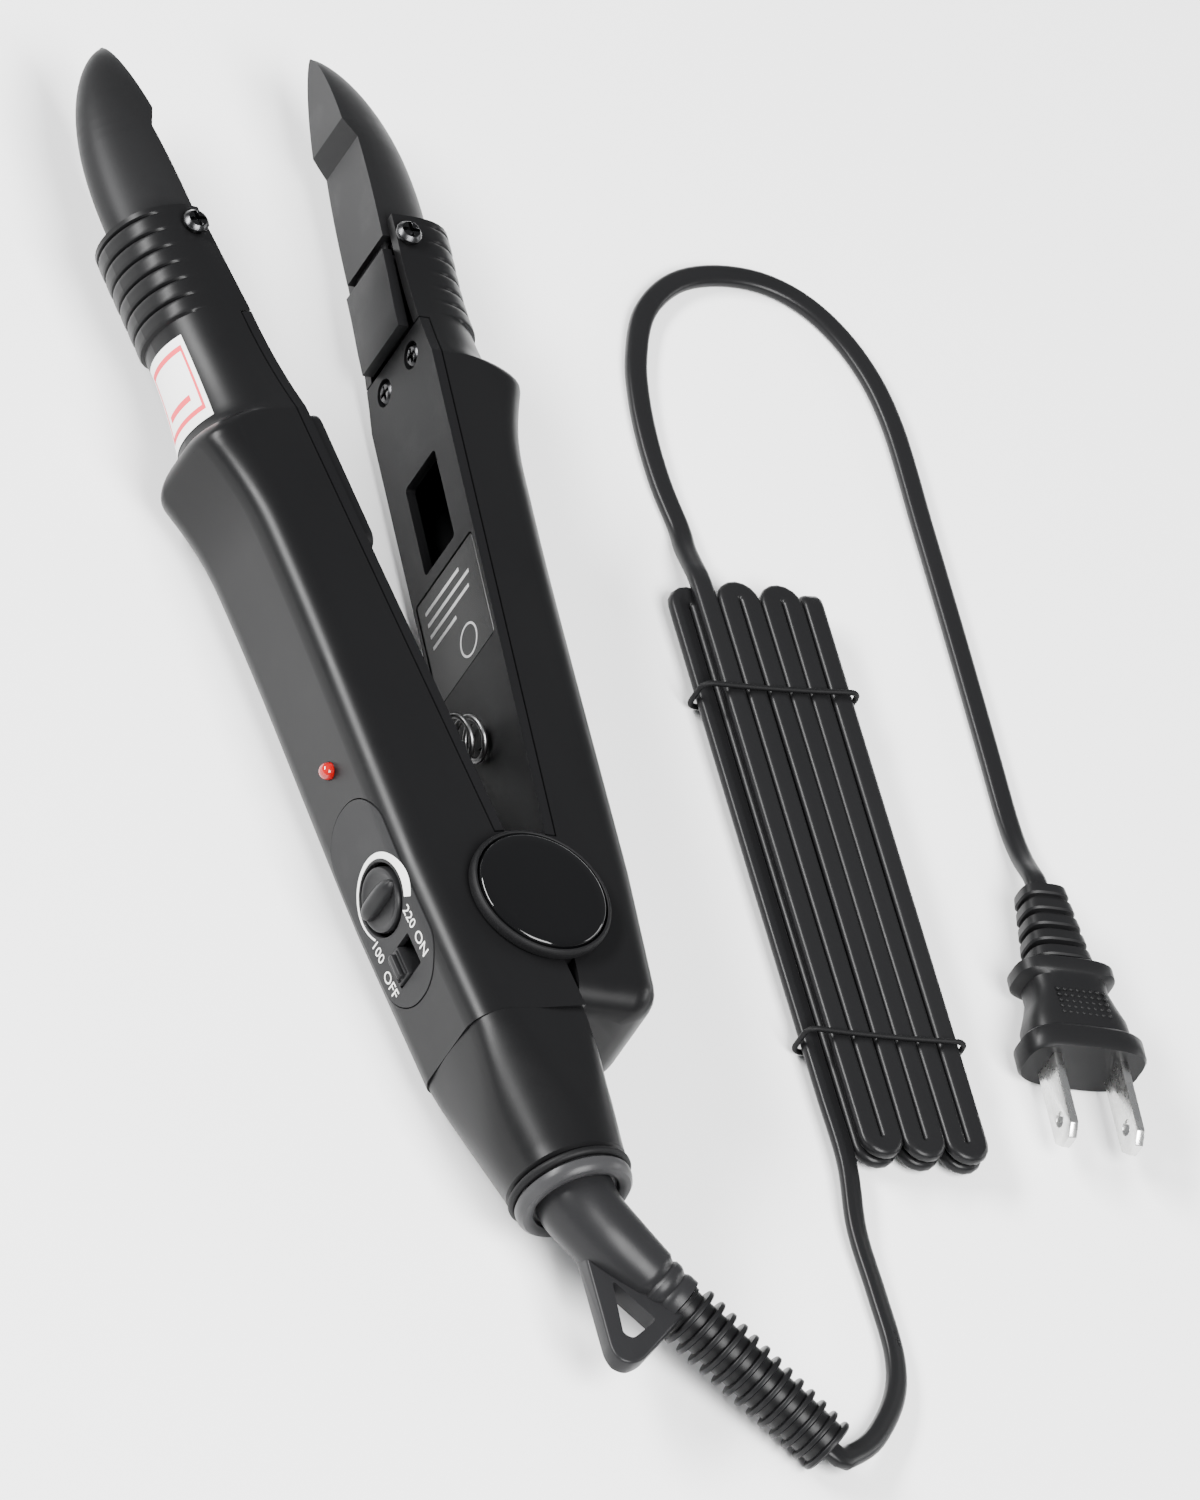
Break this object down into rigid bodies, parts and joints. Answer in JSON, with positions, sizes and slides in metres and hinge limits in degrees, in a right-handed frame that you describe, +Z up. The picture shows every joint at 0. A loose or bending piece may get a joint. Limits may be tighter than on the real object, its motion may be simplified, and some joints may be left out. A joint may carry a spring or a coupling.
{
  "type": "hair fusion iron",
  "caption": "Hand-held electric hair crimping iron: two hinged black arms with heated leaf-shaped tips, sprung open, lying on its side with its mains lead tied in a hank.",
  "frame": {"origin": "centre of the lower pivot cap's flat face, on which the iron lies", "axes": "+X along the control arm towards its tip, +Y towards the side with the knob and switch, +Z up along the pivot's axis"},
  "size_m": [0.2907, 0.161, 0.03],
  "materials": {
    "casing": "satin black moulded heat-resistant nylon",
    "gloss_black": "polished black",
    "trim_grey": "fine matt dark grey",
    "soft_black": "matt black",
    "cord_black": "satin black flexible PVC",
    "knob_black": "fine matt black",
    "tip_coating": "black heat-proof coating on aluminium",
    "ceramic": "unglazed ceramic",
    "steel": "plain steel",
    "plated_brass": "nickel-plated",
    "lamp_red": "clear red",
    "board_green": "solder mask on glass fibre"
  },
  "bodies": {
    "control_arm": {"control_shell": "casing", "control_inner_cover": "casing", "control_tip": "tip_coating", "control_heater": "ceramic", "control_nose_screw": "steel", "control_cover_screw_1": "steel", "control_cover_screw_2": "steel", "control_heat_bracket": "casing", "control_heater_lead": "soft_black", "control_panel": "trim_grey", "led_lens": "lamp_red", "potentiometer": "trim_grey", "switch_body": "trim_grey", "circuit_board": "board_green", "pivot_pin": "steel", "pivot_ring_top": "soft_black", "pivot_cap_top": "gloss_black", "pivot_ring_bottom": "soft_black", "pivot_cap_bottom": "gloss_black", "rear_o_ring": "soft_black", "rear_collar": "trim_grey", "swivel_neck": "casing", "strain_relief": "soft_black", "return_spring": "steel", "cord_lead": "cord_black", "cord_tail": "cord_black", "cord_hank": "cord_black", "cord_tie_1": "soft_black", "cord_tie_2": "soft_black", "plug_body": "cord_black", "plug_blade_1": "plated_brass", "plug_blade_2": "plated_brass"},
    "plain_arm": {"plain_shell": "casing", "plain_inner_cover": "casing", "rating_label": "gloss_black", "plain_tip": "tip_coating", "plain_heater": "ceramic", "plain_nose_screw": "steel", "plain_cover_screw_1": "steel", "plain_cover_screw_2": "steel", "plain_heat_bracket": "casing", "plain_heater_lead": "soft_black"},
    "temperature_knob": {"temperature_knob": "knob_black"},
    "switch_slider": {"switch_slider": "knob_black"}
  },
  "joints": [
    {"name": "arm_pivot", "type": "hinge", "parent": "control_arm", "child": "plain_arm", "pos_m": [0, 0, 0.015], "axis": [0, 0, 1], "range_deg": [0, 12.3], "stiffness_Nm_per_rad": 0.8, "springref_deg": -14.32, "deforming": ["return_spring"]},
    {"name": "knob_turn", "type": "hinge", "parent": "control_arm", "child": "temperature_knob", "pos_m": [0.0092, 0.0216, 0.016], "axis": [0, -1, 0], "range_deg": [-30, 210]},
    {"name": "switch_slide", "type": "slide", "parent": "control_arm", "child": "switch_slider", "axis": [0, 0, 1], "range_m": [0, 0.0032]}
  ]
}
